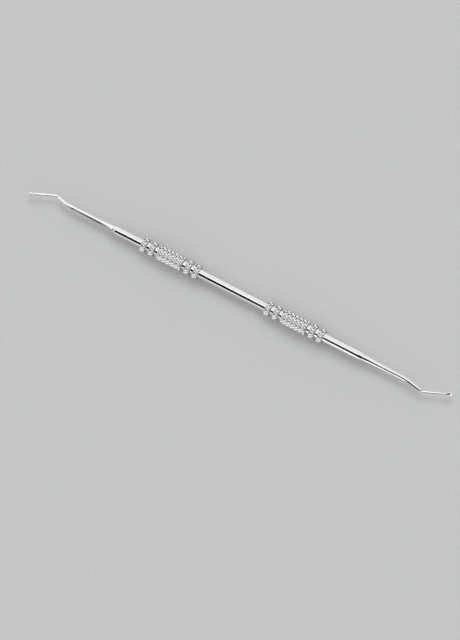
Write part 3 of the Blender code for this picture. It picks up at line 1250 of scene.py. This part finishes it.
    @staticmethod
    def _note_unbent_places(stem: Workpiece, stations: list[Station]) -> None:
        """Store where each vertex would be on a straight stem, for grain that follows the bends.

        Args:
            stem: the finished stem, before it is moved to its place.
            stations: the stations in order.
        """
        spine = [(Vector((s.centre.x, s.centre.y, 0.0)), s.heading) for s in stations]
        lengths = [0.0]
        for (before, _), (after, _) in zip(spine, spine[1:]):
            lengths.append(lengths[-1] + (after - before).length)
        mesh = stem.shape.data
        places = mesh.attributes.new(UNBENT, "FLOAT_VECTOR", "POINT")
        for vert in mesh.vertices:
            flat = Vector((vert.co.x, vert.co.y, 0.0))
            nearest = min(range(len(spine)), key=lambda n: (spine[n][0] - flat).length_squared)
            centre, heading = spine[nearest]
            offset = Matrix.Rotation(-heading, 3, "Z") @ (flat - centre)
            places.data[vert.index].vector = (lengths[nearest] + offset.x, offset.y, vert.co.z)


# Studio


@dataclass(frozen=True)
class SoftPatch:
    """A soft-edged patch of the studio's walls and ceiling, seen from the tool.

    Every straight bar of the tool mirrors one ring of the room round its own direction. The
    angles are measured about that direction, from straight up towards +Y, and they and their
    edge are in degrees. The reaches say how far a view points along it.
    """

    angles: Range
    edge: float
    strength: float
    reaches: Range
    reach_edges: Range


# The patches by the bearing of their bars, in degrees. Each is laid over the ones before it.
ROOM_PATCHES = {
    0.0: (
        # Leaning towards the tool's ends: for the knurls, and for the rod seen from either end
        SoftPatch((-9.5, -0.5), 2.0, 0.03, (0.34, 0.66), (0.05, 0.05)),
        SoftPatch((13.0, 45.5), 4.0, 0.03, (0.34, 0.66), (0.05, 0.05)),
        SoftPatch((25.5, 34.0), 2.5, 0.45, (0.34, 0.66), (0.05, 0.05)),
        SoftPatch((17.0, 30.0), 2.0, 1.3, (-0.80, -0.66), (0.02, 0.02)),
        SoftPatch((45.0, 62.0), 3.0, 1.4, (-0.80, -0.66), (0.02, 0.02)),
        SoftPatch((66.0, 96.0), 14.0, 0.25, (0.24, 2.0), (0.06, 0.05)),
        SoftPatch((-96.0, -66.0), 14.0, 0.25, (0.50, 2.0), (0.05, 0.05)),
        SoftPatch((-96.0, -64.0), 14.0, 0.25, (-0.68, -0.44), (0.03, 0.03)),
        SoftPatch((66.0, 96.0), 14.0, 0.25, (-0.68, -0.58), (0.03, 0.03)),
        SoftPatch((-75.0, -25.0), 12.0, 0.25, (-2.0, -0.81), (0.05, 0.03)),
        SoftPatch((32.0, 62.0), 12.0, 0.35, (-2.0, -0.81), (0.05, 0.03)),
        SoftPatch((-50.0, -38.5), 1.5, 0.2, (-0.81, -0.66), (0.03, 0.02)),
        SoftPatch((-20.5, -8.5), 1.5, 0.15, (-0.81, -0.66), (0.03, 0.02)),
        # Across the tool: for the lines along the rod and the straight stems
        SoftPatch((-115.0, -8.0), 4.0, 0.08, (-0.325, -0.222), (0.075, 0.010)),
        SoftPatch((-115.0, -84.0), 3.0, 0.08, (-0.222, -0.165), (0.008, 0.010)),
        SoftPatch((-59.0, -4.0), 3.0, 0.0, (-0.222, -0.182), (0.008, 0.005)),
        SoftPatch((-54.0, -5.0), 3.0, 0.0, (-0.182, 0.16), (0.005, 0.04)),
        SoftPatch((-59.0, -3.0), 3.0, 0.0, (-0.164, 0.16), (0.004, 0.04)),
        SoftPatch((-100.0, -62.0), 3.0, 1.6, (-0.180, -0.03), (0.005, 0.02)),
    ),
    # For the lower side of the necks
    NECK_DEGREES: (
        SoftPatch((-100.0, -60.0), 4.0, 0.06, (-0.236, -0.136), (0.02, 0.02)),
    ),
    # Beyond the ends of the wires, and for their upper and their lower side
    WIRE_DEGREES: (
        SoftPatch((-35.0, 35.0), 8.0, 0.06, (0.62, 2.0), (0.05, 0.05)),
        SoftPatch((-2.0, 100.0), 3.0, 2.0, (-0.216, -0.192), (0.008, 0.008)),
        SoftPatch((-12.0, 100.0), 3.0, 2.0, (-0.158, -0.138), (0.006, 0.006)),
        SoftPatch((-100.0, -12.0), 4.0, 0.0, (-0.226, -0.192), (0.02, 0.008)),
        SoftPatch((-100.0, -12.0), 4.0, 0.0, (-0.158, -0.126), (0.006, 0.02)),
    ),
}


@dataclass
class Studio:
    """Floor, light and camera."""

    image_height: float = 640.0
    metres_per_pixel: float = 0.0003745
    tilt: float = math.radians(11.0)
    roll: float = math.radians(27.28)
    tool_right: float = 8.46
    tool_up: float = 26.74
    lens: float = 400.0
    sensor: float = 36.0
    sight: float = 50.0
    floor_size: float = 6.0
    room_strength: float = 0.95
    key_strength: float = 0.8
    key_spread: float = math.radians(28.0)
    key_elevation: float = math.radians(48.0)
    key_bearing: float = math.radians(105.0)

    def build(self) -> None:
        """Set the whole studio up."""
        self._floor()
        self._world()
        self._key()
        self._camera()
        bpy.context.scene.view_settings.view_transform = "Standard"

    def _floor(self) -> None:
        """Lay a wide sheet of pale paper under the tool."""
        clear_selection()
        bpy.ops.mesh.primitive_plane_add(size=self.floor_size)
        floor = bpy.context.object
        floor.name = floor.data.name = "studio_floor"
        floor.data.materials.append(StudioPaper().material())

    def _world(self) -> None:
        """Light the tool from a soft white room whose patches show in the polished steel."""
        world = bpy.data.worlds.new("soft_studio")
        bpy.context.scene.world = world
        world.use_nodes = True
        board = Board(world.node_tree)
        view = board.add("ShaderNodeTexCoord").outputs["Generated"]
        strength: object = self.room_strength
        for bearing, patches in ROOM_PATCHES.items():
            ahead = math.radians(bearing)
            axes = towards(ahead), towards(ahead + math.pi / 2.0), Vector((0.0, 0.0, 1.0))
            reach, beside, up = [
                board.vector("DOT_PRODUCT", view, axis, output="Value") for axis in axes
            ]
            angle = board.math("DEGREES", board.math("ARCTAN2", beside, up))
            for patch in patches:
                inside = board.window(angle, patch.angles, (patch.edge, patch.edge))
                within = board.window(reach, patch.reaches, patch.reach_edges)
                share = board.math("MULTIPLY", inside, within)
                change = board.math("SUBTRACT", patch.strength, strength)
                strength = board.math("MULTIPLY_ADD", share, change, strength)
        background = world.node_tree.nodes["Background"]
        board.feed(background, {"Color": (1.0, 1.0, 1.0, 1.0), "Strength": strength})

    def _key(self) -> None:
        """Hang a broad soft light that only draws the tool's shadow on the paper."""
        light = bpy.data.lights.new("soft_key", "SUN")
        light.energy = self.key_strength
        light.angle = self.key_spread
        key = bpy.data.objects.new("soft_key", light)
        bpy.context.scene.collection.objects.link(key)
        key.rotation_euler = (0.0, math.pi / 2.0 - self.key_elevation, self.key_bearing)
        key.visible_glossy = False

    def _camera(self) -> None:
        """Look down at the tool from far off, a little from its right end."""
        back = Vector((math.sin(self.tilt), 0.0, math.cos(self.tilt)))
        along = (Vector((1.0, 0.0, 0.0)) - back * back.x).normalized()
        beside = back.cross(along)
        right = along * math.cos(self.roll) + beside * math.sin(self.roll)
        up = beside * math.cos(self.roll) - along * math.sin(self.roll)
        aim = Vector((0.0, 0.0, ROD_MIDDLE.z))
        aim -= (right * self.tool_right + up * self.tool_up) * self.metres_per_pixel
        distance = self.metres_per_pixel * self.image_height * self.lens / self.sensor
        data = bpy.data.cameras.new("product_camera")
        data.lens = self.lens
        data.sensor_width = self.sensor
        data.clip_end = self.sight
        camera = bpy.data.objects.new("product_camera", data)
        bpy.context.scene.collection.objects.link(camera)
        turned = Matrix((right, up, back)).transposed().to_4x4()
        camera.matrix_world = Matrix.Translation(aim + back * distance) @ turned
        bpy.context.scene.camera = camera


def main() -> None:
    """Build every sub-assembly in order, then the studio."""
    logging.basicConfig(level=logging.INFO, format="%(name)s: %(message)s")
    effects = Effects()
    turned = PolishedSteel("turned_polished_steel", line_scale=(26000.0, 2400.0, 2400.0))
    drawn = PolishedSteel(
        "drawn_polished_steel", line_scale=(1600.0, 24000.0, 24000.0), unbent=True,
        colour=(0.91, 0.91, 0.90, 1.0), dull_colour=(0.82, 0.82, 0.81, 1.0),
    )
    stem_steel = drawn.material(effects)
    knurled = KnurledSteel().material(effects)

    HandleRod(turned.material(effects)).build()
    stock = KnurledStock()
    ring = stock.sleeve("stock_ring", RING_WIDTH)
    grip = stock.sleeve("stock_grip", GRIP_LENGTH)
    left_start = -ROD_LENGTH / 2.0 + LEFT_PLAIN_LENGTH
    right_start = ROD_LENGTH / 2.0 - RIGHT_PLAIN_LENGTH - ZONE_LENGTH
    KnurledZone(Side.LEFT, left_start, ("outer", "inner"), ring, grip, knurled).build()
    KnurledZone(Side.RIGHT, right_start, ("inner", "outer"), ring, grip, knurled).build()
    ring.discard()
    grip.discard()
    CuretteStem(
        Side.LEFT, stem_steel, straight_length=0.0202, neck_length=0.0050,
        neck_angle=math.radians(12.7),
    ).build()
    CuretteStem(
        Side.RIGHT, stem_steel, straight_length=0.0182, neck_length=0.0070,
        neck_angle=math.radians(10.5),
    ).build()
    Studio().build()


if __name__ == "__main__":
    main()
